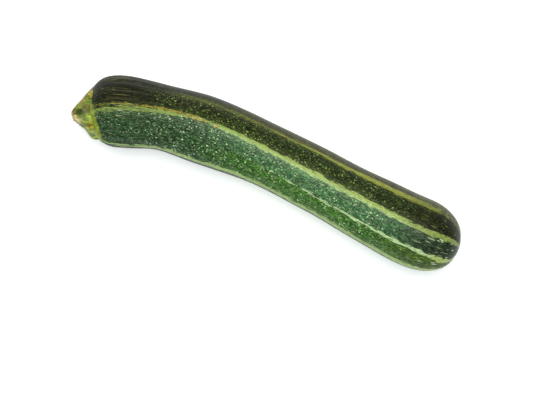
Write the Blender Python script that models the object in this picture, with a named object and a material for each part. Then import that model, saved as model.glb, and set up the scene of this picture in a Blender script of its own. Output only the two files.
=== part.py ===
"""A courgette as picked: one long, slightly bent fruit with the cut stub of its stalk.

Metres, +Z up. The courgette lies on its belly along X, with its stalk towards -X. The origin is
under the middle of its bounding box, on the surface that it lies on.
"""

from math import acos, asin, atan2, cos, pi, radians, sin, sqrt

import bmesh
import bpy
import numpy as np
from mathutils import Vector

# The fruit's centre line (x, y, height), from the tip under its stalk to the tip of its blossom end.
CENTRE_LINE = [
    (-0.1186, -0.0122, 0.0209),
    (-0.1056, -0.0064, 0.0221),
    (-0.0934, -0.0026, 0.0223),
    (-0.0804, 0.0009, 0.0215),
    (-0.0509, 0.0047, 0.0214),
    (-0.0129, 0.0059, 0.0198),
    (0.0291, 0.0034, 0.0199),
    (0.0741, -0.0009, 0.0214),
    (0.1041, -0.0025, 0.0223),
    (0.1299, -0.0010, 0.0228),
]
# The fruit's bulges and waists (distance along it from the same tip, half thickness).
GIRTH = [
    (0.020, 0.0229),
    (0.047, 0.0209),
    (0.073, 0.0220),
    (0.117, 0.0202),
    (0.158, 0.0206),
    (0.222, 0.0228),
]
# The rounded ends: their lengths along the fruit, and how full they are (2 is an ellipse).
STALK_DOME = 0.020
STALK_FULLNESS = 2.6
BLOSSOM_DOME = 0.028
BLOSSOM_FULLNESS = 2.3

# Five low ribs run along the fruit, higher by the stalk. Angles go up from the fruit's +Y side.
FRUIT_RIBS = 5
RIB_ANGLE = radians(80)
RIB_BY_STALK = 0.020
RIB_BY_BLOSSOM = 0.007

# The round scar that the flower left on the blossom end.
SCAR_RADIUS = 0.0065
SCAR_HEIGHT = 0.0004

# Faces round the fruit, and rings over its stalk end, along its body and over its blossom end.
FRUIT_SIDES = 56
STALK_DOME_RINGS = 8
BODY_RINGS = 40
BLOSSOM_DOME_RINGS = 12
FRUIT_RINGS = STALK_DOME_RINGS + BODY_RINGS + BLOSSOM_DOME_RINGS

# The stalk's rim lies round the neck, a hair's breadth off the fruit, and is lobed like the stalk.
GAP = 0.00045
NECK_RADIUS = 0.0167
STALK_RIDGES = 5
RIDGE_ANGLE = radians(54)
RIM_LOBE = 0.0009
# The stalk's outer side (distance out from the neck, half thickness, height of its ridges).
STALK_PROFILE = [
    (0.0008, 0.0168, 0.0012),
    (0.0020, 0.0162, 0.0014),
    (0.0045, 0.0143, 0.0017),
    (0.0065, 0.0122, 0.0018),
    (0.0080, 0.0106, 0.0016),
    (0.0100, 0.0093, 0.0014),
    (0.0140, 0.0073, 0.0012),
    (0.0210, 0.0055, 0.0010),
]
# The stalk leans to the fruit's +Y side from here on, by this much for each unit out.
LEAN_START = 0.003
LEAN = 0.13
# Faces round the stalk, and rings over its underside and along its outer side.
STALK_SIDES = 50
UNDER_RINGS = 6
OUTER_RINGS = 14

# The knife's two cuts: a point of each and the way that it faces, as out, sideways and up on the stalk.
LONG_CUT = ((0.0163, 0.0, 0.0), (0.83, 0.55, 0.12))
END_CUT = ((0.0167, 0.0, 0.0), (0.96, -0.14, 0.25))
CUT_EDGE = radians(40)

SKIN_COLOUR = (0.035, 0.095, 0.022)
SKIN_ROUGHNESS = 0.36
STALK_COLOUR = (0.26, 0.33, 0.06)
STALK_ROUGHNESS = 0.62


def remove_everything():
    """Empties the scene."""
    for thing in list(bpy.data.objects):
        bpy.data.objects.remove(thing, do_unlink=True)


def smooth_through(places, values):
    """A curve that passes smoothly through the values and runs on straight past its ends."""
    places = np.array(places)
    values = np.array(values)
    gaps = np.diff(places)
    slopes = np.diff(values) / gaps
    system = np.eye(len(places))
    turns = np.zeros(len(places))
    for i in range(1, len(gaps)):
        system[i, i - 1:i + 2] = gaps[i - 1], 2 * (gaps[i - 1] + gaps[i]), gaps[i]
        turns[i] = 6 * (slopes[i] - slopes[i - 1])
    bend = np.linalg.solve(system, turns)

    def curve(place):
        i = int(np.clip(np.searchsorted(places, place) - 1, 0, len(gaps) - 1))
        inside = min(max(place, places[0]), places[-1])
        late = (inside - places[i]) / gaps[i]
        early = 1 - late
        value = early * values[i] + late * values[i + 1]
        value += gaps[i] ** 2 / 6 * ((early**3 - early) * bend[i] + (late**3 - late) * bend[i + 1])
        slope = slopes[i] + gaps[i] / 6 * ((3 * late**2 - 1) * bend[i + 1] - (3 * early**2 - 1) * bend[i])
        return float(value + slope * (place - inside))

    return curve


STEPS = [0.0] + [(Vector(b) - Vector(a)).length for a, b in zip(CENTRE_LINE, CENTRE_LINE[1:])]
DISTANCES = np.cumsum(STEPS)
BODY_END = float(DISTANCES[-1])
LINE_X, LINE_Y, LINE_Z = (smooth_through(DISTANCES, values) for values in zip(*CENTRE_LINE))
SMALL_STEP = 0.0005


def centre(distance):
    """The centre line's point at a distance from the tip under the stalk."""
    return Vector((LINE_X(distance), LINE_Y(distance), LINE_Z(distance)))


def directions(distance):
    """Along the fruit, to its +Y side and up, all square to each other."""
    along = (centre(distance + SMALL_STEP) - centre(distance - SMALL_STEP)).normalized()
    side = Vector((0, 0, 1)).cross(along).normalized()
    return along, side, along.cross(side)


def half_thickness(distance):
    """The body's half thickness, rounded from each bulge to the next waist."""
    for (start, first), (end, second) in zip(GIRTH, GIRTH[1:]):
        if distance < end:
            share = max(0.0, (distance - start) / (end - start))
            return first + (second - first) * share * share * (3 - 2 * share)
    return GIRTH[-1][1]


def fruit_point(distance, roundness, angle):
    """A point of the skin. Roundness is 1 along the body and falls to 0 at the tip of each end."""
    along, side, up = directions(distance)
    rib = RIB_BY_STALK + (RIB_BY_BLOSSOM - RIB_BY_STALK) * distance / BODY_END
    radius = half_thickness(distance) * roundness
    radius *= 1 + rib * roundness * cos(FRUIT_RIBS * (angle - RIB_ANGLE))
    point = centre(distance) + radius * (cos(angle) * side + sin(angle) * up)
    if distance > BODY_END / 2 and radius < SCAR_RADIUS:
        point += along * SCAR_HEIGHT * sqrt(1 - radius / SCAR_RADIUS)
    return point


def stalk_dome(turn):
    """Distance and roundness on the stalk end, a little fuller than an ellipse, for turns of 0 to pi/2."""
    power = 2 / STALK_FULLNESS
    return STALK_DOME * (1 - cos(turn) ** power), sin(turn) ** power


def turn_at(radius):
    """The turn at which the stalk end's dome is this far from the centre line."""
    return asin((radius / GIRTH[0][1]) ** (STALK_FULLNESS / 2))


def blossom_dome(turn):
    """Distance and roundness on the blossom end."""
    power = 2 / BLOSSOM_FULLNESS
    return BODY_END - BLOSSOM_DOME * (1 - cos(turn) ** power), sin(turn) ** power


def fruit_ring(ring):
    """The distance and roundness of a ring, counted from the tip under the stalk."""
    left = FRUIT_RINGS - ring
    if ring <= STALK_DOME_RINGS:
        return stalk_dome(pi / 2 * ring / STALK_DOME_RINGS)
    if left <= BLOSSOM_DOME_RINGS:
        return blossom_dome(pi / 2 * left / BLOSSOM_DOME_RINGS)
    share = (ring - STALK_DOME_RINGS) / BODY_RINGS
    return STALK_DOME + share * (BODY_END - STALK_DOME - BLOSSOM_DOME), 1.0


def lying_fruit(ring, angle):
    """The skin, pressed flat by the fruit's own weight where it lies on the surface."""
    point = fruit_point(*fruit_ring(ring), angle)
    point.z = max(point.z, 0.0)
    return point


def in_stalk(out, sideways, up):
    """A point given from the neck's middle: out of the fruit, to its +Y side, and up."""
    neck, _ = stalk_dome(turn_at(NECK_RADIUS))
    along, side_way, up_way = directions(neck)
    return centre(neck) - out * along + sideways * side_way + up * up_way


def lobe(angle):
    """1 on each of the stalk's ridges and -1 in the grooves between them."""
    return cos(STALK_RIDGES * (angle - RIDGE_ANGLE))


def stalk_under(share, angle):
    """The stalk's underside: the fruit's own dome, lifted off it by the gap. Share is 1 at the rim."""
    rim = NECK_RADIUS + RIM_LOBE * lobe(angle)
    on_fruit = fruit_point(*stalk_dome(turn_at(rim) * share), angle)
    return on_fruit + in_stalk(GAP, 0, 0) - in_stalk(0, 0, 0)


def stalk_outer(share, angle):
    """The stalk's ridged outer side, from its rim up. Share is 1 at the far end, which the cuts remove."""
    start, end = STALK_PROFILE[0][0], STALK_PROFILE[-1][0]
    out = start + (end - start) * share
    places, radii, ridges = zip(*STALK_PROFILE)
    radius = float(np.interp(out, places, radii) + np.interp(out, places, ridges) * lobe(angle))
    if share == 1:
        radius = 0.0
    lean = LEAN * max(0.0, out - LEAN_START)
    return in_stalk(out, radius * cos(angle) + lean, radius * sin(angle))


def whole_stalk(ring, angle):
    """The stalk before it is cut, ring by ring from the middle of its underside."""
    if ring <= UNDER_RINGS:
        return stalk_under(ring / UNDER_RINGS, angle)
    return stalk_outer((ring - UNDER_RINGS) / OUTER_RINGS, angle)


def cut(mesh, point, facing):
    """Cuts away what lies past a plane given in the stalk's directions, and closes the cut face."""
    body = bmesh.new()
    body.from_mesh(mesh)
    everything = body.verts[:] + body.edges[:] + body.faces[:]
    on_plane = in_stalk(*point)
    square_to_it = in_stalk(*facing) - in_stalk(0, 0, 0)
    bmesh.ops.bisect_plane(body, geom=everything, plane_co=on_plane, plane_no=square_to_it, clear_outer=True)
    bmesh.ops.holes_fill(body, edges=[edge for edge in body.edges if edge.is_boundary])
    bmesh.ops.recalc_face_normals(body, faces=body.faces)
    body.to_mesh(mesh)
    body.free()


def shaped_ball(name, sides, rings, place):
    """A ball whose points are moved to place(ring, angle). Ring 0 is one pole and the last the other."""
    ball = bmesh.new()
    bmesh.ops.create_uvsphere(ball, u_segments=sides, v_segments=rings, radius=1.0)
    for vert in ball.verts:
        ring = round(acos(max(-1.0, min(1.0, -vert.co.z))) / pi * rings)
        vert.co = place(ring, atan2(vert.co.y, vert.co.x))
    bmesh.ops.recalc_face_normals(ball, faces=ball.faces)
    mesh = bpy.data.meshes.new(name)
    ball.to_mesh(mesh)
    ball.free()
    return mesh


def make_material(name, colour, roughness):
    """A plain, not metallic, surface."""
    material = bpy.data.materials.new(name)
    material.use_nodes = True
    material.diffuse_color = (*colour, 1)
    shader = material.node_tree.nodes["Principled BSDF"]
    shader.inputs["Base Color"].default_value = (*colour, 1)
    shader.inputs["Roughness"].default_value = roughness
    shader.inputs["Metallic"].default_value = 0.0
    return material


def make_fruit():
    """The long body in its skin."""
    mesh = shaped_ball("fruit", FRUIT_SIDES, FRUIT_RINGS, lying_fruit)
    mesh.materials.append(make_material("courgette_skin", SKIN_COLOUR, SKIN_ROUGHNESS))
    mesh.shade_smooth()
    return bpy.data.objects.new("fruit", mesh)


def make_stalk():
    """The stub of the stalk, cut aslant by a knife."""
    mesh = shaped_ball("stalk", STALK_SIDES, UNDER_RINGS + OUTER_RINGS, whole_stalk)
    cut(mesh, *LONG_CUT)
    cut(mesh, *END_CUT)
    mesh.materials.append(make_material("stalk_green", STALK_COLOUR, STALK_ROUGHNESS))
    mesh.shade_smooth()
    mesh.set_sharp_from_angle(angle=CUT_EDGE)
    return bpy.data.objects.new("stalk", mesh)


remove_everything()
courgette = bpy.data.collections.new("courgette")
bpy.context.scene.collection.children.link(courgette)
for piece in (make_fruit(), make_stalk()):
    courgette.objects.link(piece)
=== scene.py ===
from math import cos, pi, radians, sin

import bmesh
import bpy
import numpy as np
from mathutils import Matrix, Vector, noise


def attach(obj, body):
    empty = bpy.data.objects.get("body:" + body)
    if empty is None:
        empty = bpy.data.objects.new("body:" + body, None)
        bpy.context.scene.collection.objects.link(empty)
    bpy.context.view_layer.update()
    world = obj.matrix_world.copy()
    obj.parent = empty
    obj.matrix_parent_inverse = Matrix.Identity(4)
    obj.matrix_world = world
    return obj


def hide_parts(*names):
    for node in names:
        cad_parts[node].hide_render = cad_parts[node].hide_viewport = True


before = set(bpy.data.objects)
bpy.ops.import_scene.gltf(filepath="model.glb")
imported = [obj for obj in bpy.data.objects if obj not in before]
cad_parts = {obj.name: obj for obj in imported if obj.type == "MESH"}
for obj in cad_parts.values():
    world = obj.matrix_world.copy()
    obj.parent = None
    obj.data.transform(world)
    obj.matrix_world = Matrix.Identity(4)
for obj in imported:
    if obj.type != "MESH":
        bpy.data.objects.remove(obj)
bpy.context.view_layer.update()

# The fruit: one long, slightly bent body, firm flesh under a thin waxy skin. Ten light stripes run from
# under its stalk to the scar that the flower left on its other end, and pale speckles lie between them.
# It lies on its belly along X with its stalk towards -X, and angles go up from its +Y side.
CENTRE_LINE = [
    (-0.1186, -0.0122, 0.0209),
    (-0.1056, -0.0064, 0.0221),
    (-0.0934, -0.0026, 0.0223),
    (-0.0804, 0.0009, 0.0215),
    (-0.0509, 0.0047, 0.0214),
    (-0.0129, 0.0059, 0.0198),
    (0.0291, 0.0034, 0.0199),
    (0.0741, -0.0009, 0.0214),
    (0.1041, -0.0025, 0.0223),
    (0.1299, -0.0010, 0.0228),
]
# Bulges and waists (distance along the fruit from the tip under its stalk, half thickness).
GIRTH = [
    (0.020, 0.0229),
    (0.047, 0.0209),
    (0.073, 0.0220),
    (0.117, 0.0202),
    (0.158, 0.0206),
    (0.222, 0.0228),
]
STALK_DOME = 0.020
STALK_FULLNESS = 2.6
BLOSSOM_DOME = 0.028
BLOSSOM_FULLNESS = 2.3
FRUIT_RIBS = 5
RIB_ANGLE = radians(80)
RIB_BY_STALK = 0.020
RIB_BY_BLOSSOM = 0.007
SCAR_RADIUS = 0.0065
SCAR_HEIGHT = 0.0004

FRUIT_SIDES = 256
STALK_DOME_RINGS = 24
BODY_RINGS = 310
BLOSSOM_DOME_RINGS = 46
FRUIT_RINGS = STALK_DOME_RINGS + BODY_RINGS + BLOSSOM_DOME_RINGS


def smooth_step(share):
    """From 0 to 1 with no corner at either end."""
    share = np.clip(share, 0.0, 1.0)
    return share * share * (3 - 2 * share)


def ramp(values, first, last):
    """From 0 where the values reach the first to 1 where they reach the last."""
    return smooth_step((values - first) / (last - first))


def smooth_through(places, values):
    """A curve that passes smoothly through the values and runs on straight past its ends."""
    places = np.array(places)
    values = np.array(values)
    gaps = np.diff(places)
    slopes = np.diff(values) / gaps
    system = np.eye(len(places))
    turns = np.zeros(len(places))
    for i in range(1, len(gaps)):
        system[i, i - 1:i + 2] = gaps[i - 1], 2 * (gaps[i - 1] + gaps[i]), gaps[i]
        turns[i] = 6 * (slopes[i] - slopes[i - 1])
    bend = np.linalg.solve(system, turns)

    def curve(place):
        i = np.clip(np.searchsorted(places, place) - 1, 0, len(gaps) - 1)
        inside = np.clip(place, places[0], places[-1])
        late = (inside - places[i]) / gaps[i]
        early = 1 - late
        value = early * values[i] + late * values[i + 1]
        bow = (early**3 - early) * bend[i] + (late**3 - late) * bend[i + 1]
        value = value + gaps[i] ** 2 / 6 * bow
        turn = (3 * late**2 - 1) * bend[i + 1] - (3 * early**2 - 1) * bend[i]
        slope = slopes[i] + gaps[i] / 6 * turn
        return value + slope * (place - inside)

    return curve


LINE_STEPS = np.linalg.norm(np.diff(np.array(CENTRE_LINE), axis=0), axis=1)
DISTANCES = np.concatenate([[0.0], np.cumsum(LINE_STEPS)])
BODY_END = float(DISTANCES[-1])
LINE_X, LINE_Y, LINE_Z = (smooth_through(DISTANCES, values) for values in zip(*CENTRE_LINE))
SMALL_STEP = 0.0005


def unit(vectors):
    """Vectors made one long."""
    return vectors / np.linalg.norm(vectors, axis=-1, keepdims=True)


def centre(distance):
    """The centre line's point at a distance from the tip under the stalk."""
    return np.stack([LINE_X(distance), LINE_Y(distance), LINE_Z(distance)], axis=-1)


def directions(distance):
    """Along the fruit, to its +Y side and up, all square to each other."""
    along = unit(centre(distance + SMALL_STEP) - centre(distance - SMALL_STEP))
    side = unit(np.cross((0.0, 0.0, 1.0), along))
    return along, side, np.cross(along, side)


def half_thickness(distance):
    """The body's half thickness, rounded from each bulge to the next waist."""
    starts, sizes = np.array(GIRTH).T
    i = np.clip(np.searchsorted(starts, distance) - 1, 0, len(starts) - 2)
    return sizes[i] + (sizes[i + 1] - sizes[i]) * ramp(distance, starts[i], starts[i + 1])


def fruit_point(distance, roundness, angle, relief=0.0):
    """A point of the skin. Roundness is 1 along the body and falls to 0 at the tip of each end."""
    along, side, up = directions(distance)
    rib = RIB_BY_STALK + (RIB_BY_BLOSSOM - RIB_BY_STALK) * distance / BODY_END
    radius = half_thickness(distance) * roundness
    radius = radius * (1 + rib * roundness * np.cos(FRUIT_RIBS * (angle - RIB_ANGLE)))
    scar = np.sqrt(np.clip(1 - radius / SCAR_RADIUS, 0, 1)) * (distance > BODY_END / 2)
    radius = radius + relief * roundness
    out = np.cos(angle)[..., None] * side + np.sin(angle)[..., None] * up
    return centre(distance) + radius[..., None] * out + (SCAR_HEIGHT * scar)[..., None] * along


def stalk_dome(turn):
    """Distance and roundness on the stalk end, a little fuller than an ellipse, for turns of 0 to pi/2."""
    power = 2 / STALK_FULLNESS
    flat = np.clip(np.cos(turn), 0, 1) ** power
    return STALK_DOME * (1 - flat), np.sin(turn) ** power


def turn_at(radius):
    """The turn at which the stalk end's dome is this far from the centre line."""
    return np.arcsin((radius / GIRTH[0][1]) ** (STALK_FULLNESS / 2))


def blossom_dome(turn):
    """Distance and roundness on the blossom end."""
    power = 2 / BLOSSOM_FULLNESS
    flat = np.clip(np.cos(turn), 0, 1) ** power
    return BODY_END - BLOSSOM_DOME * (1 - flat), np.sin(turn) ** power


def fruit_ring(ring):
    """The distance and roundness of each ring, counted from the tip under the stalk."""
    stalk_end = stalk_dome(pi / 2 * np.clip(ring / STALK_DOME_RINGS, 0, 1))
    blossom_end = blossom_dome(pi / 2 * np.clip((FRUIT_RINGS - ring) / BLOSSOM_DOME_RINGS, 0, 1))
    share = (ring - STALK_DOME_RINGS) / BODY_RINGS
    body = STALK_DOME + share * (BODY_END - STALK_DOME - BLOSSOM_DOME)
    near_stalk = ring <= STALK_DOME_RINGS
    near_blossom = FRUIT_RINGS - ring <= BLOSSOM_DOME_RINGS
    distance = np.where(near_stalk, stalk_end[0], np.where(near_blossom, blossom_end[0], body))
    roundness = np.where(near_stalk, stalk_end[1], np.where(near_blossom, blossom_end[1], 1.0))
    return distance, roundness


def ball(name, sides, rings):
    """A ball's mesh with each point's ring, counted from one pole, and its angle round the poles' line."""
    made = bmesh.new()
    bmesh.ops.create_uvsphere(made, u_segments=sides, v_segments=rings, radius=1.0)
    mesh = bpy.data.meshes.new(name)
    made.to_mesh(mesh)
    made.free()
    points = points_of(mesh)
    ring = np.round(np.arccos(np.clip(-points[:, 2], -1, 1)) / pi * rings)
    return mesh, ring, np.arctan2(points[:, 1], points[:, 0])


def points_of(mesh):
    """A mesh's points as rows of x, y and z."""
    points = np.zeros(len(mesh.vertices) * 3)
    mesh.vertices.foreach_get("co", points)
    return points.reshape(-1, 3)


def move_points(mesh, points):
    """Puts a mesh's points at these places."""
    mesh.vertices.foreach_set("co", points.ravel())
    mesh.update()


fruit_mesh, fruit_rings, fruit_angles = ball("courgette_fruit", FRUIT_SIDES, FRUIT_RINGS)
fruit_distance, fruit_roundness = fruit_ring(fruit_rings)
fruit_x = LINE_X(fruit_distance)
fruit_degrees = np.degrees(fruit_angles) % 360

# The light stripes: (x, angle in degrees, half width), from the stalk to the blossom end. These four face
# up. The top one has a thin branch beside it by the stalk.
OUTER_STRIPE = [
    (-0.112, 37, -0.0006),
    (-0.085, 38, -0.0003),
    (-0.060, 38, 0.0003),
    (-0.036, 38.5, 0.0002),
    (0.000, 39, 0.0005),
    (0.030, 39, 0.0012),
    (0.060, 38.5, 0.0018),
    (0.092, 38.5, 0.0023),
    (0.106, 39, 0.0018),
    (0.112, 41, 0.0003),
    (0.115, 43, -0.0012),
]
TOP_STRIPE = [
    (-0.115, 93, 0.0013),
    (-0.108, 91.5, 0.0017),
    (-0.096, 87.4, 0.0017),
    (-0.084, 84.2, 0.0015),
    (-0.072, 81.6, 0.0011),
    (-0.060, 78.4, 0.0010),
    (-0.048, 76.9, 0.0008),
    (-0.036, 78.0, 0.0011),
    (-0.020, 80.2, 0.0014),
    (0.000, 82.6, 0.0015),
    (0.024, 83.6, 0.0015),
    (0.060, 83.2, 0.0015),
    (0.084, 82.6, 0.0017),
    (0.108, 83.0, 0.0018),
    (0.120, 82.0, 0.0018),
    (0.1299, 82.0, 0.0016),
]
TOP_BRANCH = [
    (-0.114, 84.5, 0.0003),
    (-0.098, 80.5, 0.0004),
    (-0.088, 79.2, 0.0005),
    (-0.080, 78.0, 0.0006),
    (-0.062, 76.0, 0.0008),
    (-0.050, 76.5, 0.0005),
    (-0.044, 76.5, -0.0020),
]
THIN_STRIPE = [
    (-0.020, 110, -0.0010),
    (-0.004, 112.5, -0.0003),
    (0.018, 117, 0.0002),
    (0.042, 119, 0.0004),
    (0.072, 118.6, 0.0008),
    (0.096, 118.4, 0.0011),
    (0.108, 118.8, 0.0012),
    (0.114, 121.5, 0.0016),
    (0.120, 127, 0.0022),
    (0.1299, 142, 0.0016),
]
LOWER_STRIPE = [
    (-0.114, 150, 0.0010),
    (-0.098, 157, 0.0021),
    (-0.084, 158, 0.0020),
    (-0.060, 154, 0.0016),
    (-0.036, 153, 0.0020),
    (0.000, 154.3, 0.0021),
    (0.036, 156, 0.0020),
    (0.080, 157, 0.0021),
    (0.104, 160, 0.0032),
    (0.118, 163, 0.0034),
    (0.1299, 168, 0.0016),
]
# The six that face down and away lie at these angles. Each is a little wavy and widest past the middle:
# (x, half width).
FAR_STRIPES = [191, 224, 257, 292, 325, 359]
FAR_WAVE = 2.0
FAR_HALF_WIDTHS = [
    (-0.115, 0.0006),
    (-0.040, 0.0013),
    (0.060, 0.0019),
    (0.105, 0.0017),
    (0.1299, 0.0012),
]
# Metres times this are millimetres.
MILLIMETRES = 1000


def far_stripe(angle):
    """A stripe of the far side, in the form of those above."""
    return [(x, angle + FAR_WAVE * sin(angle + 45 * x), width) for x, width in FAR_HALF_WIDTHS]


def stripe_angle(stripe, x):
    """A stripe's angle at x, in degrees."""
    places, angles, _ = zip(*stripe)
    return np.interp(x, places, angles)


def below_stripe(stripe):
    """How far round from a stripe's middle each point of the skin lies, in metres."""
    turn = (fruit_degrees - stripe_angle(stripe, fruit_x) + 180) % 360 - 180
    return half_thickness(fruit_distance) * fruit_roundness * np.radians(turn)


def inside_stripe(stripe):
    """How deep inside a stripe each point of the skin lies, in millimetres, and below 0 outside it."""
    places, _, widths = zip(*stripe)
    half_width = np.interp(fruit_x, places, widths) * fruit_roundness**0.7
    return MILLIMETRES * (half_width - np.abs(below_stripe(stripe)))


def screen(red, green, blue):
    """A colour as a screen shows it, 0 to 255, as the linear values that materials take."""
    values = np.array([red, green, blue]) / 255
    return np.where(values <= 0.04045, values / 12.92, ((values + 0.055) / 1.055) ** 2.4)


def within(values, low, high, border):
    """1 between low and high, and 0 further than the border outside them."""
    return smooth_step((values - low) / border + 1) * smooth_step((high - values) / border + 1)


# The light stripes' colours by the stalk and by the blossom end.
OLIVE = screen(84, 90, 34)
YELLOW_OLIVE = screen(138, 146, 58)
PALE_GREEN = screen(134, 157, 77)
YELLOW_GREEN = screen(156, 178, 94)
OCHRE_OLIVE = screen(150, 146, 66)
MILK_GREEN = screen(182, 210, 156)
LIME = screen(174, 194, 112)
SOFT_GREEN = screen(162, 192, 116)
STRIPES = [
    (OUTER_STRIPE, OLIVE, YELLOW_OLIVE),
    (TOP_STRIPE, PALE_GREEN, YELLOW_GREEN),
    (TOP_BRANCH, OCHRE_OLIVE, YELLOW_GREEN),
    (THIN_STRIPE, MILK_GREEN, MILK_GREEN),
    (LOWER_STRIPE, SOFT_GREEN, SOFT_GREEN),
]
STRIPES += [(far_stripe(angle), SOFT_GREEN, YELLOW_GREEN) for angle in FAR_STRIPES]
OUTER, TOP, _, THIN, LOWER = range(5)
STRIPE_TURNS_YELLOW = (-0.070, 0.010)
# The top stripe is paler along its lower edge: metres below its middle, and where along the fruit.
PALE_EDGE = screen(168, 196, 134)
PALE_EDGE_SPAN = (-0.0006, 0.0014)
PALE_EDGE_REACH = (-0.030, 0.085, 0.020)
PALE_EDGE_SHARE = 0.8
# By the blossom end the thin one and the lower one turn lime green, the outer and the top one olive.
LIME_SPAN = (0.108, 0.118)
OLIVE_SPAN = (0.080, 0.098)
OLIVE_DARKENING = 0.28

depths = np.array([inside_stripe(stripe) for stripe, _, _ in STRIPES])
nearest = depths.argmax(axis=0)
stripe_depth = depths.max(axis=0)
ripeness = ramp(fruit_x, *STRIPE_TURNS_YELLOW)[:, None]
stripe_starts = np.array([start for _, start, _ in STRIPES])[nearest]
stripe_ends = np.array([end for _, _, end in STRIPES])[nearest]
stripe_colour = stripe_starts + (stripe_ends - stripe_starts) * ripeness
below_top = below_stripe(TOP_STRIPE)
pale_edge = ramp(below_top, *PALE_EDGE_SPAN) * (nearest == TOP) * within(fruit_x, *PALE_EDGE_REACH)
stripe_colour += (PALE_EDGE - stripe_colour) * PALE_EDGE_SHARE * pale_edge[:, None]
turning_lime = ramp(fruit_x, *LIME_SPAN) * ((nearest == THIN) | (nearest == LOWER))
turning_olive = ramp(fruit_x, *OLIVE_SPAN) * ((nearest == OUTER) | (nearest == TOP))
stripe_colour = stripe_colour * (1 - OLIVE_DARKENING * turning_olive[:, None])
stripe_colour += (LIME - stripe_colour) * turning_lime[:, None]

# The skin between the stripes: each field starts at a stripe's angle and has its colour near the stalk,
# half way and near the blossom end, its speckles' colour and their share.
SOOT = screen(23, 25, 9)
NIGHT = screen(26, 37, 12)
INK = screen(34, 48, 32)
UMBER_AND_REFLECTION = screen(60, 58, 28)
DULL_OLIVE_AND_REFLECTION = screen(74, 78, 40)
TEAL = screen(31, 61, 32)
SAGE = screen(55, 97, 58)
LEAF = screen(52, 97, 28)
MOSS = screen(66, 88, 28)
CREAM_SPECKS = screen(186, 212, 164)
OLIVE_SPECKS = screen(138, 164, 82)
FIELDS = [
    (far_stripe(292), NIGHT, LEAF, NIGHT, CREAM_SPECKS, 0.7),
    (far_stripe(325), SOOT, NIGHT, SOOT, OLIVE_SPECKS, 0.7),
    # The field along the upper edge is lighter and warmer than the dark fields: partly its own colour,
    # partly painted reflection of the pale floor at that grazing edge.
    (far_stripe(359), SOOT, UMBER_AND_REFLECTION, DULL_OLIVE_AND_REFLECTION, OLIVE_SPECKS, 0.5),
    (OUTER_STRIPE, SOOT, NIGHT, SOOT, OLIVE_SPECKS, 1.0),
    (TOP_STRIPE, TEAL, SAGE, INK, CREAM_SPECKS, 1.0),
    (THIN_STRIPE, TEAL, LEAF, MOSS, CREAM_SPECKS, 1.0),
    (LOWER_STRIPE, NIGHT, NIGHT, SOOT, CREAM_SPECKS, 0.5),
    (far_stripe(191), NIGHT, LEAF, NIGHT, CREAM_SPECKS, 0.8),
    (far_stripe(224), NIGHT, LEAF, SOOT, CREAM_SPECKS, 0.8),
    (far_stripe(257), NIGHT, LEAF, SOOT, CREAM_SPECKS, 0.8),
]
FIELD_MIDDLE = (-0.065, -0.005)
FIELD_END = (0.070, 0.116)
FIELD_BORDER = 5
SEAM = 275

to_middle = ramp(fruit_x, *FIELD_MIDDLE)[:, None]
to_end = ramp(fruit_x, *FIELD_END)[:, None]


def field_colour(by_stalk, middle, by_blossom):
    """A field's colour along the fruit."""
    colour = by_stalk + (middle - by_stalk) * to_middle
    return colour + (by_blossom - colour) * to_end


ground_colour = field_colour(*FIELDS[-1][1:4])
speck_colour = np.tile(FIELDS[-1][4], (len(fruit_x), 1))
speckle_share = np.full(len(fruit_x), FIELDS[-1][5])
past_seam = (fruit_degrees - SEAM) % 360
for stripe, by_stalk, middle, by_blossom, specks, share in FIELDS:
    start = (stripe_angle(stripe, fruit_x) - SEAM) % 360
    inside = smooth_step((past_seam - start) / FIELD_BORDER + 0.5)
    ground_colour += (field_colour(by_stalk, middle, by_blossom) - ground_colour) * inside[:, None]
    speck_colour += (specks - speck_colour) * inside[:, None]
    speckle_share += (share - speckle_share) * inside

# Speckles are fewer near the blossom end and by the stalk, where the upper fields have hardly any.
NEAR_STALK = (-0.072, -0.098)
FEWER_AT_END = 0.65
FEWER_BY_STALK = 0.18
BARE_FIELDS = (-20, 76, 6)
FEWER_ON_BARE_FIELDS = 0.9
near_stalk = ramp(fruit_x, *NEAR_STALK)
speckle_share *= 1 - FEWER_AT_END * to_end[:, 0]
speckle_share *= 1 - FEWER_ON_BARE_FIELDS * near_stalk * within(fruit_degrees, *BARE_FIELDS)
speckle_share *= 1 - FEWER_BY_STALK * near_stalk

# The fields turn olive by the outer stripe and above the top one, and a pale painted sheen lies just under
# the top one, along the crest: colour, share, how many millimetres from the stripe it fades out, and where
# along the fruit it lies.
OUTER_SHADE = (screen(88, 96, 40), 0.60, 3.4, (-0.062, 0.100, 0.016))
OLIVE_SHADE = (screen(52, 70, 24), 0.75, 6.5, (-0.085, 0.080, 0.030))
PAINTED_SHEEN = (screen(120, 152, 104), 0.45, 5.5, (-0.028, 0.050, 0.018))
FULL_BY_OUTER = 0.05


def shade_field(shade, past_stripe, full=0.0):
    """What a shade adds to the fields beside a stripe. They lie past_stripe millimetres from it."""
    colour, share, fade, span = shade
    beside = smooth_step(1 + full - np.abs(past_stripe) / fade) * (past_stripe > 0)
    return (colour - ground_colour) * (share * beside * within(fruit_x, *span))[:, None]


by_outer = np.abs(below_stripe(OUTER_STRIPE)) * MILLIMETRES
ground_colour += shade_field(OUTER_SHADE, by_outer, FULL_BY_OUTER)
ground_colour += shade_field(OLIVE_SHADE, -below_top * MILLIMETRES)
# Painted sheen: a pale colour just under the top stripe, standing in for the light's reflection there.
ground_colour += shade_field(PAINTED_SHEEN, below_top * MILLIMETRES)

# Fine lines run lengthwise by the stalk, and short dashes lie by the blossom end and just below the top
# stripe. A long cork scar follows the top stripe's upper edge, where the young fruit rubbed on its plant.
NECK_FIELD = (10, 98, 12)
LINES_OUTSIDE_IT = 0.30
END_DASHES = (0.092, 0.110)
FEW_DASHES_FIELD = (44, 80, 6)
FEWER_DASHES = 0.65
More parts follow.
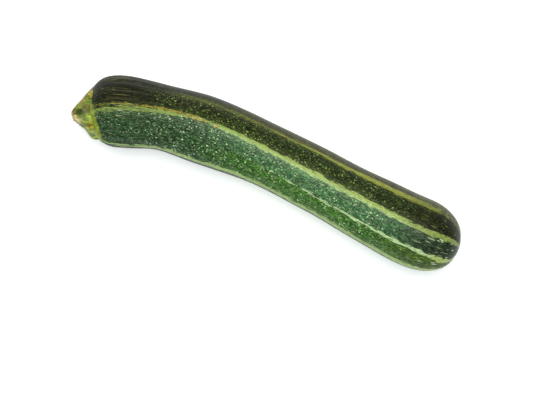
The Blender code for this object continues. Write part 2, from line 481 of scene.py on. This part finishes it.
# Those below the top stripe: millimetres below it, and where along the fruit.
BELOW_TOP = (1.0, 4.0, 1.0)
EDGE_DASHES = (-0.110, -0.058, 0.012)
TIP_DASHES = (0.098, 0.112, 0.006)
# The scar: (x, angle in degrees, half width in millimetres).
CORK_SCAR = [
    (-0.1080, 82.5, -1.50),
    (-0.0960, 80.2, -0.90),
    (-0.0880, 79.2, 0.45),
    (-0.0700, 77.0, 0.85),
    (-0.0630, 76.4, 0.45),
    (-0.0580, 76.8, 0.35),
    (-0.0555, 77.9, 1.50),
    (-0.0515, 78.3, 1.35),
    (-0.0495, 77.8, 0.25),
    (-0.0435, 77.8, 0.15),
    (-0.0420, 78.7, 1.20),
    (-0.0400, 78.9, 1.00),
    (-0.0385, 78.6, -0.80),
]
OCHRE = screen(168, 156, 66)
PINK_TAN = screen(200, 178, 118)
CORK_TURNS = (-0.064, -0.057)
NO_CORK = -2.0

in_neck_field = within(fruit_degrees, *NECK_FIELD)
neck_lines = near_stalk * (LINES_OUTSIDE_IT + (1 - LINES_OUTSIDE_IT) * in_neck_field)
dashes = ramp(fruit_x, *END_DASHES) * (1 - FEWER_DASHES * within(fruit_degrees, *FEW_DASHES_FIELD))
edge_dashes = within(below_top * MILLIMETRES, *BELOW_TOP)
dashes = np.maximum(dashes, edge_dashes * within(fruit_x, *EDGE_DASHES))
dashes = np.maximum(dashes, edge_dashes * within(fruit_x, *TIP_DASHES))

cork_places, cork_angles, cork_widths = zip(*CORK_SCAR)
cork_turn = np.radians(fruit_degrees - np.interp(fruit_x, cork_places, cork_angles))
cork_gap = MILLIMETRES * half_thickness(fruit_distance) * np.abs(cork_turn)
cork_depth = np.interp(fruit_x, cork_places, cork_widths, NO_CORK, NO_CORK) - cork_gap
cork_colour = OCHRE + (PINK_TAN - OCHRE) * ramp(fruit_x, *CORK_TURNS)[:, None]

# Round the neck the stalk's own lime green skin runs out over the shoulder, furthest on the lower side:
# (angle in degrees, how far it reaches from the centre line).
COLLAR = [
    (-90, 0.0178),
    (0, 0.0170),
    (45, 0.0170),
    (70, 0.0175),
    (90, 0.0189),
    (115, 0.0202),
    (137, 0.0211),
    (160, 0.0205),
    (200, 0.0190),
    (270, 0.0178),
]
LIME_OLIVE = screen(138, 154, 46)
DEEP_LIME = screen(112, 128, 38)
LIGHTER_COLLAR = (100, 175, 15)
NO_COLLAR = -5.0
collar_angles, collar_reaches = zip(*COLLAR)
from_line = half_thickness(fruit_distance) * fruit_roundness
collar_reach = np.interp((fruit_degrees + 90) % 360 - 90, collar_angles, collar_reaches)
collar_depth = MILLIMETRES * (collar_reach - from_line)
collar_depth = np.where(fruit_distance < STALK_DOME, collar_depth, NO_COLLAR)
lighter = within(fruit_degrees, *LIGHTER_COLLAR)[:, None]
collar_colour = DEEP_LIME + (LIME_OLIVE - DEEP_LIME) * lighter

# The relief: soft lumps, furrows that fade out from the neck, stripes that stand a little proud and a
# crust on the cork scar.
LUMP = 0.00030
LUMP_ACROSS = 0.022
CLEAR_OF_STALK = (-0.112, -0.100)
FURROW = 0.00016
FURROWS = 23
FURROW_SWAY = 1.5
FURROW_FADE = (-0.070, -0.100)
STRIPE_PROUD = 0.00010
COLLAR_PROUD = 0.00035
COLLAR_EDGE = 1.2
CORK_PROUD = 0.00035
CORK_EDGE = 0.5
CORK_GRAIN = 0.0011
PLAIN_RADIUS = 0.020


def bumps(points, across):
    """Smooth noise from -1 to 1 with hills about this far apart."""
    return np.array([noise.noise(Vector(point / across)) for point in points])


plain_points = fruit_point(fruit_distance, fruit_roundness, fruit_angles)
clear_of_stalk = ramp(fruit_x, *CLEAR_OF_STALK)
relief = LUMP * bumps(plain_points, LUMP_ACROSS) * clear_of_stalk
furrow = np.cos(FURROWS * fruit_angles + FURROW_SWAY * np.sin(3 * fruit_angles))
relief += FURROW * furrow * ramp(fruit_x, *FURROW_FADE) * clear_of_stalk
relief += STRIPE_PROUD * smooth_step(stripe_depth + 0.5)
relief += COLLAR_PROUD * smooth_step(collar_depth / COLLAR_EDGE + 0.5)
crust = 0.6 + 0.4 * bumps(plain_points, CORK_GRAIN)
relief += CORK_PROUD * smooth_step(cork_depth / CORK_EDGE + 0.5) * crust

skin_points = fruit_point(fruit_distance, fruit_roundness, fruit_angles, relief)
skin_points[:, 2] = np.maximum(skin_points[:, 2], 0.0)
move_points(fruit_mesh, skin_points)
fruit_mesh.shade_smooth()

# The skin rolled out in millimetres: along the fruit, and round it on a plain tube that is closed at
# both ends.
ring_order = np.arange(FRUIT_RINGS + 1)
ring_distance, ring_roundness = fruit_ring(ring_order)
ring_radius = half_thickness(ring_distance) * ring_roundness
ring_steps = np.hypot(np.diff(ring_distance), np.diff(ring_radius))
ring_arc = np.concatenate([[0.0], np.cumsum(ring_steps)]) * MILLIMETRES
tube = PLAIN_RADIUS * MILLIMETRES * np.sqrt(fruit_roundness)
rolled = np.stack([
    ring_arc[fruit_rings.astype(int)],
    tube * np.cos(fruit_angles),
    tube * np.sin(fruit_angles),
], axis=-1)


def keep(mesh, name, values):
    """Stores a number, a vector or a colour for each point of a mesh, for its material to read."""
    if values.ndim == 1:
        mesh.attributes.new(name, "FLOAT", "POINT").data.foreach_set("value", values)
    elif name.endswith("colour"):
        opaque = np.column_stack([values, np.ones(len(values))])
        mesh.attributes.new(name, "FLOAT_COLOR", "POINT").data.foreach_set("color", opaque.ravel())
    else:
        mesh.attributes.new(name, "FLOAT_VECTOR", "POINT").data.foreach_set("vector", values.ravel())


# By the stalk the stripes between these angles are combed into streaks.
COMBED = (82, 180, 4)
keep(fruit_mesh, "rolled", rolled)
keep(fruit_mesh, "stripe_depth", stripe_depth)
keep(fruit_mesh, "stripe_colour", stripe_colour)
keep(fruit_mesh, "ground_colour", ground_colour)
keep(fruit_mesh, "speck_colour", speck_colour)
keep(fruit_mesh, "speckle_share", speckle_share)
keep(fruit_mesh, "neck_lines", neck_lines)
keep(fruit_mesh, "dash_share", dashes)
keep(fruit_mesh, "cork_depth", cork_depth)
keep(fruit_mesh, "cork_colour", cork_colour)
keep(fruit_mesh, "near_stalk", near_stalk)
keep(fruit_mesh, "comb_share", near_stalk * within(fruit_degrees, *COMBED))
keep(fruit_mesh, "collar_depth", collar_depth)
keep(fruit_mesh, "collar_colour", collar_colour)


class Finish:
    """A material made of nodes. Each method adds a node and gives its first output."""

    def __init__(self, name):
        self.material = bpy.data.materials.new(name)
        self.material.use_nodes = True
        self.tree = self.material.node_tree
        self.surface = self.tree.nodes["Principled BSDF"]

    def node(self, kind, inputs, **settings):
        """Adds a node whose inputs are other nodes' outputs or plain values."""
        made = self.tree.nodes.new(kind)
        for name, value in settings.items():
            setattr(made, name, value)
        for name, value in inputs.items():
            self.feed(made, name, value)
        return made

    def feed(self, node, name, value):
        """Gives a node's input another node's output or a plain value."""
        if isinstance(value, bpy.types.NodeSocket):
            self.tree.links.new(value, node.inputs[name])
        elif node.inputs[name].type == "RGBA":
            node.inputs[name].default_value = (*value, 1.0)
        else:
            node.inputs[name].default_value = value

    def kept(self, name, output="Fac"):
        """What keep() stored under this name: output is Fac, Vector or Color."""
        return self.node("ShaderNodeAttribute", {}, attribute_name=name).outputs[output]

    def sum(self, first, second):
        """One number added to another."""
        return self.node("ShaderNodeMath", {0: first, 1: second}, operation="ADD").outputs[0]

    def product(self, first, second):
        """One number times another."""
        return self.node("ShaderNodeMath", {0: first, 1: second}, operation="MULTIPLY").outputs[0]

    def rise(self, value, low, high, to_low=0.0, to_high=1.0):
        """Goes smoothly from one number to the other while the value goes from low to high."""
        inputs = {
            "Value": value,
            "From Min": low,
            "From Max": high,
            "To Min": to_low,
            "To Max": to_high,
        }
        return self.node("ShaderNodeMapRange", inputs, interpolation_type="SMOOTHSTEP").outputs[0]

    def uneven(self, clouds, lowest, highest):
        """A number that follows clouds, most of which lie near their middle of 0.5."""
        return self.rise(clouds, 0.38, 0.62, lowest, highest)

    def wander(self, clouds, most):
        """A shift to either side that follows clouds, for an edge that wanders."""
        return self.rise(clouds, 0.3, 0.7, -most, most)

    def stretched(self, vector, along, across):
        """The rolled out skin with patterns drawn out along the fruit and across it by these factors."""
        inputs = {0: vector, 1: (1 / along, 1 / across, 1 / across)}
        return self.node("ShaderNodeVectorMath", inputs, operation="MULTIPLY").outputs[0]

    def clouds(self, vector, detail=3.0, roughness=0.5):
        """Noise about one unit across, from 0 to 1."""
        inputs = {"Vector": vector, "Scale": 1.0, "Detail": detail, "Roughness": roughness}
        return self.node("ShaderNodeTexNoise", inputs).outputs[0]

    def scaled(self, colour, factor):
        """A colour made lighter or darker."""
        inputs = {0: colour, "Scale": factor}
        return self.node("ShaderNodeVectorMath", inputs, operation="SCALE").outputs[0]

    def mixed(self, share, below, above):
        """Colour over colour."""
        mix = self.node("ShaderNodeMix", {"Factor": share}, data_type="RGBA")
        self.feed(mix, 6, below)
        self.feed(mix, 7, above)
        return mix.outputs[2]

    def dots(self, vector, biggest, edge, amount=1.0):
        """Dots of uneven size, at most one for each unit of the vector, and each dot's own number."""
        cells = self.node("ShaderNodeTexVoronoi", {"Vector": vector, "Scale": 1.0})
        draws = self.node("ShaderNodeSeparateColor", {"Color": cells.outputs["Color"]})
        reach = self.product(self.product(draws.outputs[0], biggest), amount)
        depth = self.sum(reach, self.product(cells.outputs["Distance"], -1.0))
        return self.rise(depth, 0.0, edge), draws.outputs[1]

    def bumped(self, height, distance, below=None):
        """A normal from a height of 0 to 1, for relief of this many metres."""
        inputs = {"Height": height, "Distance": distance, "Strength": 1.0}
        if below is not None:
            inputs["Normal"] = below
        return self.node("ShaderNodeBump", inputs).outputs[0]


skin = Finish("courgette_skin")
skin_map = skin.kept("rolled", "Vector")

# Dark and light mottles, drawn out along the fruit, with fine lengthwise hatching and grain in them.
mottle = skin.clouds(skin.stretched(skin_map, 6.0, 2.6), 3.0, 0.6)
hatch = skin.clouds(skin.stretched(skin_map, 2.6, 0.62), 3.0, 0.65)
grain = skin.clouds(skin.stretched(skin_map, 0.9, 0.55), 2.0, 0.7)
shade = skin.product(skin.uneven(mottle, 0.72, 1.28), skin.rise(hatch, 0.40, 0.60, 0.48, 1.48))
shade = skin.product(shade, skin.uneven(grain, 0.50, 1.50))
skin_colour = skin.scaled(skin.kept("ground_colour", "Color"), shade)

# The thin lines by the stalk run where long drawn clouds cross their middle, and have gaps.
LINE_OLIVE = screen(140, 142, 76)
line_noise = skin.clouds(skin.stretched(skin_map, 60.0, 1.1), 2.0, 0.6)
off_middle = {0: skin.sum(line_noise, -0.5)}
line_ridge = skin.node("ShaderNodeMath", off_middle, operation="ABSOLUTE").outputs[0]
lines = skin.product(skin.rise(line_ridge, 0.016, 0.0), skin.kept("neck_lines"))
broken = skin.rise(skin.clouds(skin.stretched(skin_map, 26.0, 1.6), 2.0), 0.46, 0.57)
lines = skin.product(lines, skin.product(broken, 0.85))
skin_colour = skin.mixed(lines, skin_colour, LINE_OLIVE)

# Speckles: very many small faint ones, many clear ones about a millimetre across and a few larger ones.
share = skin.kept("speckle_share")
specks = skin.kept("speck_colour", "Color")
flecks = skin.rise(skin.clouds(skin.stretched(skin_map, 2.0, 0.50), 2.0, 0.7), 0.53, 0.63)
skin_colour = skin.mixed(skin.product(skin.product(flecks, share), 0.26), skin_colour, specks)
small, small_draw = skin.dots(skin.stretched(skin_map, 1.15, 0.88), 0.53, 0.18, share)
small_light = skin.rise(small_draw, 0.3, 1.0, 0.10, 0.95)
skin_colour = skin.mixed(skin.product(small, small_light), skin_colour, specks)
clear_share = skin.product(share, skin.rise(skin.kept("near_stalk"), 0.0, 1.0, 1.0, 0.70))
clear, clear_draw = skin.dots(skin.stretched(skin_map, 2.2, 1.6), 0.34, 0.11, clear_share)
clear_light = skin.rise(clear_draw, 0.0, 1.0, 0.35, 1.0)
skin_colour = skin.mixed(skin.product(clear, clear_light), skin_colour, skin.scaled(specks, 1.25))

# Dashes: long thin dots by the blossom end and below the top stripe.
dash, dash_draw = skin.dots(skin.stretched(skin_map, 8.0, 1.05), 0.50, 0.14)
dash_light = skin.rise(dash_draw, 0.2, 1.0, 0.25, 1.0)
dash = skin.product(dash, skin.product(dash_light, skin.kept("dash_share")))
skin_colour = skin.mixed(dash, skin_colour, skin.scaled(specks, 1.15))

# The light stripes: drawn out streaks make their edges and the green flecks in them, and a comb of
# longer ones parts them by the stalk.
streaks = skin.clouds(skin.stretched(skin_map, 7.0, 0.75), 3.0, 0.6)
drift = skin.clouds(skin.stretched(skin_map, 5.0, 3.0), 2.0, 0.6)
depth = skin.sum(skin.kept("stripe_depth"), skin.wander(streaks, 0.75))
depth = skin.sum(depth, skin.wander(drift, 0.35))
stripe = skin.rise(depth, -0.25, 0.35)
comb = skin.clouds(skin.stretched(skin_map, 16.0, 0.70), 2.0, 0.6)
comb = skin.rise(comb, 0.47, 0.55, 0.0, -0.88)
stripe = skin.product(stripe, skin.sum(1.0, skin.product(comb, skin.kept("comb_share"))))
fleck = skin.clouds(skin.stretched(skin_map, 2.6, 0.6), 3.0, 0.65)
stripe_shade = skin.product(skin.uneven(fleck, 0.72, 1.22), skin.rise(grain, 0.36, 0.64, 0.84, 1.14))
light = skin.scaled(skin.kept("stripe_colour", "Color"), stripe_shade)
skin_colour = skin.mixed(skin.product(stripe, 0.94), skin_colour, light)

# The cork scar: broken and rough, with a crust in it.
crust = skin.clouds(skin.stretched(skin_map, 2.4, 0.7), 4.0, 0.7)
cork_depth_here = skin.sum(skin.kept("cork_depth"), skin.rise(crust, 0.3, 0.7, -1.6, 1.3))
cork = skin.rise(cork_depth_here, -0.15, 0.55)
cork_shade = skin.product(skin.uneven(crust, 0.72, 1.2), skin.uneven(grain, 0.80, 1.15))
cork_light = skin.scaled(skin.kept("cork_colour", "Color"), cork_shade)
skin_colour = skin.mixed(skin.product(cork, 0.74), skin_colour, cork_light)

# The collar, where the stalk's own skin runs out over the shoulder.
collar = skin.rise(skin.sum(skin.kept("collar_depth"), skin.wander(fleck, 0.5)), -0.2, 0.3)
collar_shade = skin.product(skin.uneven(mottle, 0.64, 1.30), skin.rise(grain, 0.36, 0.64, 0.70, 1.30))
collar_light = skin.scaled(skin.kept("collar_colour", "Color"), collar_shade)
skin_colour = skin.mixed(collar, skin_colour, collar_light)

# The wax is duller by the stalk and the cork has none.
roughness = skin.rise(hatch, 0.30, 0.70, 0.36, 0.48)
roughness = skin.sum(roughness, skin.product(cork, 0.30))
roughness = skin.sum(roughness, skin.product(skin.kept("near_stalk"), 0.10))
relief_height = skin.sum(skin.product(clear, 0.4), skin.product(grain, 0.5))
relief_height = skin.sum(relief_height, skin.product(hatch, 0.6))
SKIN_GRAIN_DEPTH = 0.00010
CORK_CRUST_DEPTH = 0.0004
skin_normal = skin.bumped(relief_height, SKIN_GRAIN_DEPTH)
skin_normal = skin.bumped(skin.product(cork, crust), CORK_CRUST_DEPTH, skin_normal)
skin.feed(skin.surface, "Base Color", skin_colour)
skin.feed(skin.surface, "Roughness", roughness)
skin.feed(skin.surface, "Normal", skin_normal)
skin.surface.inputs["Specular IOR Level"].default_value = 0.15

fruit_mesh.materials.append(skin.material)
fruit = bpy.data.objects.new("courgette_fruit", fruit_mesh)
bpy.context.scene.collection.objects.link(fruit)
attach(fruit, "root")
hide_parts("fruit")

# The stalk: the stub that a knife left of the woody stalk. Five ridges run down it and flare into lobes
# over the neck of the fruit, and the flesh shows pale in its two cut faces. It grows out of the neck,
# so its edge sits a little down in the skin.
SEAT = 0.0007
NECK_RADIUS = 0.0167
STALK_RIDGES = 5
RIDGE_ANGLE = radians(54)
RIM_LOBE = 0.0009
# The outer side (distance out from the neck, half thickness, height of its ridges).
STALK_PROFILE = [
    (0.0008, 0.0167, 0.0012),
    (0.0020, 0.0161, 0.0014),
    (0.0041, 0.0144, 0.0016),
    (0.0066, 0.0118, 0.0017),
    (0.0089, 0.0092, 0.0015),
    (0.0107, 0.0079, 0.0013),
    (0.0126, 0.0062, 0.0011),
    (0.0150, 0.0042, 0.0008),
    (0.0210, 0.0026, 0.0005),
]
LEAN = -0.05
# The lobe on its -Y side bulges: (distance out, half length, height of the bulge).
LOWER_LOBE = (0.0052, 0.0048, 0.0018)
# The two cut faces: a point of each and the way that it faces (out, to the +Y side, up).
LONG_CUT = ((0.0173, -0.0002, 0.0), (0.78, 0.60, 0.12))
END_CUT = ((0.0170, -0.0002, 0.0), (0.92, -0.24, 0.30))
STALK_SIDES = 160
UNDER_RINGS = 24
OUTER_RINGS = 56
STALK_GRAIN = 0.00030

neck_distance, _ = stalk_dome(turn_at(NECK_RADIUS))
neck_along, neck_side, neck_up = directions(neck_distance)
neck_centre = centre(neck_distance)


def in_stalk(out, sideways, up):
    """Points given from the neck's middle: out of the fruit, to its +Y side, and up."""
    place = np.stack(np.broadcast_arrays(-np.asarray(out, float), sideways, up), axis=-1)
    return neck_centre + place @ np.stack([neck_along, neck_side, neck_up])


def lobe(angle):
    """1 on each of the stalk's ridges and -1 in the grooves between them."""
    return np.cos(STALK_RIDGES * (angle - RIDGE_ANGLE))


stalk_mesh, stalk_rings, stalk_angles = ball("courgette_stalk", STALK_SIDES, UNDER_RINGS + OUTER_RINGS)
under_share = np.clip(stalk_rings / UNDER_RINGS, 0, 1)
rim = NECK_RADIUS + RIM_LOBE * lobe(stalk_angles)
under = fruit_point(*stalk_dome(turn_at(rim) * under_share), stalk_angles)
under = under + SEAT * neck_along
outer_share = np.clip((stalk_rings - UNDER_RINGS) / OUTER_RINGS, 0, 1)
start, end = STALK_PROFILE[0][0], STALK_PROFILE[-1][0]
out = start + (end - start) * outer_share
profile_places, profile_radii, profile_ridges = zip(*STALK_PROFILE)
radius = smooth_through(profile_places, profile_radii)(out)
radius = radius + smooth_through(profile_places, profile_ridges)(out) * lobe(stalk_angles)
lobe_out, lobe_length, lobe_height = LOWER_LOBE
towards_lobe = np.clip(-np.cos(stalk_angles), 0, 1) ** 2
bulge = smooth_step(1 - np.abs(out - lobe_out) / lobe_length) * towards_lobe
radius = radius + lobe_height * bulge
radius = np.where(outer_share == 1, 0.0, radius)
outer = in_stalk(out, radius * np.cos(stalk_angles) + LEAN * out, radius * np.sin(stalk_angles))
move_points(stalk_mesh, np.where((stalk_rings <= UNDER_RINGS)[:, None], under, outer))


def cut(mesh, point, facing):
    """Cuts away what lies past a plane given in the stalk's directions, and closes the cut face."""
    body = bmesh.new()
    body.from_mesh(mesh)
    everything = body.verts[:] + body.edges[:] + body.faces[:]
    square_to_it = in_stalk(*facing) - in_stalk(0, 0, 0)
    bmesh.ops.bisect_plane(
        body, geom=everything, plane_co=in_stalk(*point), plane_no=square_to_it, clear_outer=True
    )
    bmesh.ops.holes_fill(body, edges=[edge for edge in body.edges if edge.is_boundary])
    bmesh.ops.recalc_face_normals(body, faces=body.faces)
    body.to_mesh(mesh)
    body.free()


cut(stalk_mesh, *LONG_CUT)
cut(stalk_mesh, *END_CUT)
stalk = bpy.data.objects.new("courgette_stalk", stalk_mesh)
bpy.context.scene.collection.objects.link(stalk)
evening = stalk.modifiers.new("even_faces", "REMESH")
evening.mode = "VOXEL"
evening.voxel_size = STALK_GRAIN
evening.use_smooth_shade = True
bpy.context.view_layer.update()
even_mesh = bpy.data.meshes.new_from_object(stalk.evaluated_get(bpy.context.evaluated_depsgraph_get()))
stalk.modifiers.clear()
stalk.data = even_mesh
bpy.data.meshes.remove(stalk_mesh)
even_mesh.name = "courgette_stalk"

# Where each point lies on the stalk.
stalk_points = points_of(even_mesh)
from_neck = (stalk_points - neck_centre) @ np.stack([-neck_along, neck_side, neck_up]).T
stalk_out = from_neck[:, 0]
stalk_side = from_neck[:, 1]
stalk_turn = np.arctan2(from_neck[:, 2], stalk_side - LEAN * stalk_out)


def depth_below(cut_point, facing):
    """How far below a cut's plane each point lies, in millimetres."""
    return (np.array(cut_point) - from_neck) @ unit(np.array(facing)) * MILLIMETRES


cut_depth = np.minimum(depth_below(*LONG_CUT), depth_below(*END_CUT))

# Its rind is lime green, browner towards the +Y side, with soft patches and a hollow with painted shadow
# in
# it that lie on its upper half: (distance out, place to the +Y side, half length, half width), in
# millimetres.
LIME_RIND = screen(134, 148, 46)
BROWN_RIND = screen(128, 116, 46)
GROOVE_GREEN = screen(74, 92, 28)
RIND_TURNS_BROWN = (0.00275, 0.00775)
MOST_BROWN = 0.75
PATCHES = [
    (4.6, 3.2, 2.6, 1.8, screen(110, 104, 34)),
    (1.8, 5.8, 1.6, 2.4, screen(92, 128, 30)),
    # This yellow patch is a painted highlight on the upper side of the stalk.
    (1.6, 11.5, 1.8, 2.4, screen(164, 160, 54)),
    (7.0, 7.5, 4.0, 1.6, screen(156, 142, 58)),
    (2.2, 1.4, 1.6, 1.6, screen(128, 92, 32)),
    (1.5, -4.5, 2.8, 3.6, screen(144, 172, 62)),
    (6.4, -3.6, 1.6, 1.2, screen(128, 152, 52)),
    (5.6, -0.4, 1.2, 0.9, screen(158, 120, 66)),
    (1.6, -9.6, 1.8, 2.6, screen(142, 128, 26)),
    (2.4, -14.0, 2.6, 2.0, screen(168, 196, 64)),
    (2.6, -17.6, 3.6, 2.0, screen(180, 204, 72)),
    (5.4, -11.5, 3.0, 1.2, screen(178, 196, 84)),
    (9.4, -6.4, 2.2, 1.4, screen(164, 166, 62)),
    (12.6, -5.6, 3.6, 2.2, screen(244, 228, 172)),
    (14.8, -3.0, 2.6, 2.4, screen(250, 226, 166)),
    (14.4, 1.4, 2.2, 0.8, screen(122, 78, 34)),
]
HOLLOW = (9.8, -0.2, 3.0, 1.6)
HOLLOW_SHADOW_GREEN = screen(34, 66, 20)
HOLLOW_DEPTH = 0.0009
PATCH_SHARE = 0.85
PATCH_GRAIN = 0.0016
PATCH_UNEVENNESS = 0.45
patch_edge = PATCH_UNEVENNESS * bumps(stalk_points, PATCH_GRAIN)


def inside_patch(place_out, place_side, half_length, half_width):
    """1 inside a patch and 0 past its soft, uneven edge, for each point."""
    along_it = (MILLIMETRES * stalk_out - place_out) / half_length
    across_it = (MILLIMETRES * stalk_side - place_side) / half_width
    return smooth_step(1.5 - np.hypot(along_it, across_it) + patch_edge) * (from_neck[:, 2] > 0)


rind_colour = np.tile(LIME_RIND, (len(stalk_points), 1))
browning = MOST_BROWN * ramp(stalk_side, *RIND_TURNS_BROWN)
rind_colour += (BROWN_RIND - rind_colour) * browning[:, None]
for *place, colour in PATCHES:
    rind_colour += (colour - rind_colour) * PATCH_SHARE * inside_patch(*place)[:, None]
# The hollow is dented in, and its dark green is painted shadow.
hollow = inside_patch(*HOLLOW)[:, None]
rind_colour += (HOLLOW_SHADOW_GREEN - rind_colour) * PATCH_SHARE * hollow
move_points(even_mesh, stalk_points - HOLLOW_DEPTH * hollow * neck_up)

keep(even_mesh, "cut_depth", cut_depth)
keep(even_mesh, "ridge", lobe(stalk_turn))
keep(even_mesh, "rind_colour", rind_colour)
STALK_TUBE = 8.0
keep(even_mesh, "stalk_place", np.stack([
    stalk_out * MILLIMETRES,
    STALK_TUBE * np.cos(stalk_turn),
    STALK_TUBE * np.sin(stalk_turn),
], axis=-1))

# Fibres run along the rind, dark in its grooves, and the cut faces are cream with a browned edge.
FLESH_TAN = screen(196, 176, 84)
FLESH_CREAM = screen(240, 226, 162)
CUT_BROWN = screen(106, 80, 36)
RIND_GRAIN_DEPTH = 0.0007
rind = Finish("courgette_stalk_rind")
rind_map = rind.kept("stalk_place", "Vector")
fibres = rind.clouds(rind.stretched(rind_map, 4.5, 0.55), 3.0, 0.70)
rind_mottle = rind.clouds(rind.stretched(rind_map, 2.0, 1.2), 3.0, 0.6)
groove = rind.product(rind.rise(rind.kept("ridge"), -0.1, -1.0), 0.5)
bark = rind.mixed(groove, rind.kept("rind_colour", "Color"), GROOVE_GREEN)
bark_shade = rind.product(rind.uneven(fibres, 0.46, 1.42), rind.uneven(rind_mottle, 0.70, 1.24))
bark = rind.scaled(bark, bark_shade)
flesh_noise = rind.clouds(rind.stretched(rind_map, 1.2, 0.6), 4.0, 0.6)
flesh = rind.mixed(rind.uneven(flesh_noise, 0.0, 1.0), FLESH_TAN, FLESH_CREAM)
below_cut = rind.sum(rind.kept("cut_depth"), rind.wander(rind_mottle, 0.5))
bark = rind.mixed(rind.rise(below_cut, 1.6, 0.9, 0.0, 0.7), bark, CUT_BROWN)
bark = rind.mixed(rind.rise(below_cut, 0.75, 0.45), bark, flesh)
rind.feed(rind.surface, "Base Color", bark)
rind.feed(rind.surface, "Roughness", rind.uneven(fibres, 0.45, 0.62))
rind_height = rind.sum(fibres, rind.product(rind_mottle, 0.7))
rind.feed(rind.surface, "Normal", rind.bumped(rind_height, RIND_GRAIN_DEPTH))
rind.surface.inputs["Specular IOR Level"].default_value = 0.30
even_mesh.materials.append(rind.material)
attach(stalk, "root")
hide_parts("stalk")

# The studio: a plain white floor that glows faintly, one wide soft light over it and a pale sky. The
# fruit lies aslant in the picture, and the light stands a little towards the picture's upper edge.
FLOOR_HALF = 3.0
TURN = radians(22.863)
LIGHT_HEIGHT = 1.6
LIGHT_OFFSET = 0.25
LIGHT_SIZE = 1.3
LIGHT_POWER = 30.0
LIGHT_COLOUR = (1.0, 0.97, 0.88)
SKY_COLOUR = (0.86, 0.93, 1.0, 1.0)
SKY_STRENGTH = 0.25
floor_shape = bmesh.new()
bmesh.ops.create_grid(floor_shape, x_segments=1, y_segments=1, size=FLOOR_HALF)
floor_mesh = bpy.data.meshes.new("floor")
floor_shape.to_mesh(floor_mesh)
floor_shape.free()
floor = bpy.data.objects.new("floor", floor_mesh)
bpy.context.scene.collection.objects.link(floor)
floor_paint = Finish("floor_paint")
floor_paint.surface.inputs["Base Color"].default_value = (0.84, 0.87, 0.90, 1.0)
floor_paint.surface.inputs["Roughness"].default_value = 0.9
floor_paint.surface.inputs["Emission Color"].default_value = (0.93, 0.97, 1.0, 1.0)
floor_paint.surface.inputs["Emission Strength"].default_value = 0.41
floor_mesh.materials.append(floor_paint.material)

picture_up = Vector((-sin(TURN), cos(TURN), 0.0))


def soft_light(name, place, size, power, colour):
    """A square light of this size that faces the middle of the fruit."""
    data = bpy.data.lights.new(name, "AREA")
    data.shape = "SQUARE"
    data.size = size
    data.energy = power
    data.color = colour
    light = bpy.data.objects.new(name, data)
    light.location = place
    light.rotation_euler = (-place).to_track_quat("-Z", "Y").to_euler()
    bpy.context.scene.collection.objects.link(light)


light_place = Vector((0, 0, LIGHT_HEIGHT)) + LIGHT_OFFSET * picture_up
soft_light("main_light", light_place, LIGHT_SIZE, LIGHT_POWER, LIGHT_COLOUR)
world = bpy.data.worlds.new("studio")
world.use_nodes = True
sky = world.node_tree.nodes["Background"]
sky.inputs["Color"].default_value = SKY_COLOUR
sky.inputs["Strength"].default_value = SKY_STRENGTH
bpy.context.scene.world = world

# The camera looks straight down, turned so that the fruit slopes down to the right. The picture is this
# wide at the level of the fruit's outline.
CAMERA_PLACE = (0.0163, -0.0229)
CAMERA_HEIGHT = 0.870
SENSOR_WIDTH = 36.0
PICTURE_WIDTH = 0.3567
PICTURE_LEVEL = 0.020
camera_data = bpy.data.cameras.new("camera")
camera_data.sensor_width = SENSOR_WIDTH
camera_data.lens = SENSOR_WIDTH * (CAMERA_HEIGHT - PICTURE_LEVEL) / PICTURE_WIDTH
camera = bpy.data.objects.new("camera", camera_data)
camera.location = (*CAMERA_PLACE, CAMERA_HEIGHT)
camera.rotation_euler = (0.0, 0.0, TURN)
bpy.context.scene.collection.objects.link(camera)
bpy.context.scene.camera = camera
bpy.context.scene.view_settings.view_transform = "Standard"
